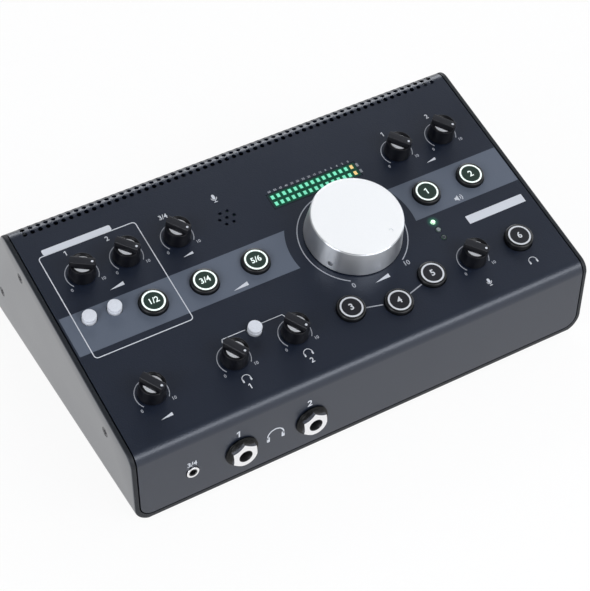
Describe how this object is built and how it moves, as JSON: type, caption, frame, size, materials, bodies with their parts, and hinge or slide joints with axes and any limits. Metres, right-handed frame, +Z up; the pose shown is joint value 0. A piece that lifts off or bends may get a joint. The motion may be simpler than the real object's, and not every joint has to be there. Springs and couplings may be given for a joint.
{
  "type": "studio monitor controller",
  "caption": "Desktop audio controller: sloped sheet metal box with a vented bend, large metal volume knob, small knobs, lit push buttons and jacks.",
  "frame": {"origin": "middle of the footprint, on the plane that the four feet stand on", "axes": "+X to the right seen from the front, +Y to the back, +Z up; the control panel rises 13 degrees to the back"},
  "size_m": [0.29, 0.194, 0.0943],
  "materials": {
    "chassis_paint": "satin powder coat",
    "cover_paint": "satin powder coat with light grey print",
    "circuit_board": "green solder mask",
    "spun_aluminium": "spun and anodised",
    "shaft_steel": "plain turned steel",
    "socket_steel": "nickel plated sheet",
    "dark_glass": "smoked pane over two rows of lights",
    "gloss_knob": "polished black, bar top satin",
    "lit_cap": "translucent dark cap with a white ring",
    "white_plastic": "satin white",
    "black_plastic": "moulded black",
    "foot_rubber": "matte"
  },
  "bodies": {
    "housing": {"chassis": "chassis_paint", "top_cover": "cover_paint", "control_board": "circuit_board", "main_board": "circuit_board", "rear_board": "circuit_board", "volume_pot": "shaft_steel", "meter_window": "dark_glass", "meter_lights": "black_plastic", "talkback_microphone": "shaft_steel", "mini_jack": "black_plastic", "usb_socket": "socket_steel", "dc_inlet": "black_plastic", "power_switch_case": "black_plastic", "foot_front_left": "foot_rubber", "foot_front_right": "foot_rubber", "foot_back_left": "foot_rubber", "foot_back_right": "foot_rubber", "phones_jack_1": "black_plastic", "phones_jack_2": "black_plastic", "combo_jack_1": "black_plastic", "combo_jack_2": "black_plastic", "line_jack_3": "black_plastic", "line_jack_4": "black_plastic", "monitor_a_left_jack": "black_plastic", "monitor_a_right_jack": "black_plastic", "monitor_b_left_jack": "black_plastic", "monitor_b_right_jack": "black_plastic"},
    "volume": {"volume_knob": "spun_aluminium", "volume_shaft": "shaft_steel"},
    "gain_1_control": {"gain_1_knob": "gloss_knob", "gain_1_shaft": "shaft_steel"},
    "gain_2_control": {"gain_2_knob": "gloss_knob", "gain_2_shaft": "shaft_steel"},
    "line_trim_control": {"line_trim_knob": "gloss_knob", "line_trim_shaft": "shaft_steel"},
    "monitor_a_trim_control": {"monitor_a_trim_knob": "gloss_knob", "monitor_a_trim_shaft": "shaft_steel"},
    "monitor_b_trim_control": {"monitor_b_trim_knob": "gloss_knob", "monitor_b_trim_shaft": "shaft_steel"},
    "talkback_control": {"talkback_knob": "gloss_knob", "talkback_shaft": "shaft_steel"},
    "phones_1_control": {"phones_1_knob": "gloss_knob", "phones_1_shaft": "shaft_steel"},
    "phones_2_control": {"phones_2_knob": "gloss_knob", "phones_2_shaft": "shaft_steel"},
    "direct_monitor_control": {"direct_monitor_knob": "gloss_knob", "direct_monitor_shaft": "shaft_steel"},
    "input_12_push": {"input_12_button": "lit_cap"},
    "input_34_push": {"input_34_button": "lit_cap"},
    "input_usb_push": {"input_usb_button": "lit_cap"},
    "monitor_a_push": {"monitor_a_button": "lit_cap"},
    "monitor_b_push": {"monitor_b_button": "lit_cap"},
    "mono_push": {"mono_button": "lit_cap"},
    "mute_push": {"mute_button": "lit_cap"},
    "dim_push": {"dim_button": "lit_cap"},
    "cue_push": {"cue_button": "lit_cap"},
    "phantom_push": {"phantom_button": "white_plastic"},
    "stereo_pan_push": {"stereo_pan_button": "white_plastic"},
    "phones_source_push": {"phones_source_button": "white_plastic"},
    "rocker": {"power_rocker": "black_plastic"}
  },
  "joints": [
    {"name": "volume_turn", "type": "hinge", "parent": "housing", "child": "volume", "pos_m": [0.03225, -0.01893, 0.07067], "axis": [0, -0.225, 0.9744], "range_deg": [-7, 293]},
    {"name": "gain_1_turn", "type": "hinge", "parent": "housing", "child": "gain_1_control", "pos_m": [-0.11649, 0.02023, 0.07971], "axis": [0, -0.225, 0.9744], "range_deg": [-29, 271]},
    {"name": "gain_2_turn", "type": "hinge", "parent": "housing", "child": "gain_2_control", "pos_m": [-0.08949, 0.02023, 0.07971], "axis": [0, -0.225, 0.9744], "range_deg": [-12, 288]},
    {"name": "line_trim_turn", "type": "hinge", "parent": "housing", "child": "line_trim_control", "pos_m": [-0.0582, 0.02023, 0.07971], "axis": [0, -0.225, 0.9744], "range_deg": [-7, 293]},
    {"name": "monitor_a_trim_turn", "type": "hinge", "parent": "housing", "child": "monitor_a_trim_control", "pos_m": [0.08619, 0.02023, 0.07971], "axis": [0, -0.225, 0.9744], "range_deg": [-9, 291]},
    {"name": "monitor_b_trim_turn", "type": "hinge", "parent": "housing", "child": "monitor_b_trim_control", "pos_m": [0.1167, 0.02023, 0.07971], "axis": [0, -0.225, 0.9744], "range_deg": [-8, 292]},
    {"name": "talkback_turn", "type": "hinge", "parent": "housing", "child": "talkback_control", "pos_m": [0.08639, -0.06074, 0.06102], "axis": [0, -0.225, 0.9744], "range_deg": [-12, 288]},
    {"name": "phones_1_turn", "type": "hinge", "parent": "housing", "child": "phones_1_control", "pos_m": [-0.06731, -0.06074, 0.06102], "axis": [0, -0.225, 0.9744], "range_deg": [-2, 298]},
    {"name": "phones_2_turn", "type": "hinge", "parent": "housing", "child": "phones_2_control", "pos_m": [-0.02981, -0.06074, 0.06102], "axis": [0, -0.225, 0.9744], "range_deg": [-2, 298]},
    {"name": "direct_monitor_turn", "type": "hinge", "parent": "housing", "child": "direct_monitor_control", "pos_m": [-0.11649, -0.06074, 0.06102], "axis": [0, -0.225, 0.9744], "range_deg": [-2, 298]},
    {"name": "input_12_press", "type": "slide", "parent": "housing", "child": "input_12_push", "axis": [0, 0.225, -0.9744], "range_m": [0, 0.0012], "stiffness_N_per_m": 300, "springref_m": -0.002},
    {"name": "input_34_press", "type": "slide", "parent": "housing", "child": "input_34_push", "axis": [0, 0.225, -0.9744], "range_m": [0, 0.0012], "stiffness_N_per_m": 300, "springref_m": -0.002},
    {"name": "input_usb_press", "type": "slide", "parent": "housing", "child": "input_usb_push", "axis": [0, 0.225, -0.9744], "range_m": [0, 0.0012], "stiffness_N_per_m": 300, "springref_m": -0.002},
    {"name": "monitor_a_press", "type": "slide", "parent": "housing", "child": "monitor_a_push", "axis": [0, 0.225, -0.9744], "range_m": [0, 0.0012], "stiffness_N_per_m": 300, "springref_m": -0.002},
    {"name": "monitor_b_press", "type": "slide", "parent": "housing", "child": "monitor_b_push", "axis": [0, 0.225, -0.9744], "range_m": [0, 0.0012], "stiffness_N_per_m": 300, "springref_m": -0.002},
    {"name": "mono_press", "type": "slide", "parent": "housing", "child": "mono_push", "axis": [0, 0.225, -0.9744], "range_m": [0, 0.0012], "stiffness_N_per_m": 300, "springref_m": -0.002},
    {"name": "mute_press", "type": "slide", "parent": "housing", "child": "mute_push", "axis": [0, 0.225, -0.9744], "range_m": [0, 0.0012], "stiffness_N_per_m": 300, "springref_m": -0.002},
    {"name": "dim_press", "type": "slide", "parent": "housing", "child": "dim_push", "axis": [0, 0.225, -0.9744], "range_m": [0, 0.0012], "stiffness_N_per_m": 300, "springref_m": -0.002},
    {"name": "cue_press", "type": "slide", "parent": "housing", "child": "cue_push", "axis": [0, 0.225, -0.9744], "range_m": [0, 0.0012], "stiffness_N_per_m": 300, "springref_m": -0.002},
    {"name": "phantom_press", "type": "slide", "parent": "housing", "child": "phantom_push", "axis": [0, 0.225, -0.9744], "range_m": [0, 0.002], "stiffness_N_per_m": 200, "springref_m": -0.003},
    {"name": "stereo_pan_press", "type": "slide", "parent": "housing", "child": "stereo_pan_push", "axis": [0, 0.225, -0.9744], "range_m": [0, 0.002], "stiffness_N_per_m": 200, "springref_m": -0.003},
    {"name": "phones_source_press", "type": "slide", "parent": "housing", "child": "phones_source_push", "axis": [0, 0.225, -0.9744], "range_m": [0, 0.002], "stiffness_N_per_m": 200, "springref_m": -0.003},
    {"name": "power_tip", "type": "hinge", "parent": "housing", "child": "rocker", "pos_m": [0.12299, 0.08674, 0.03082], "axis": [1, 0, 0], "range_deg": [0, 16]}
  ]
}
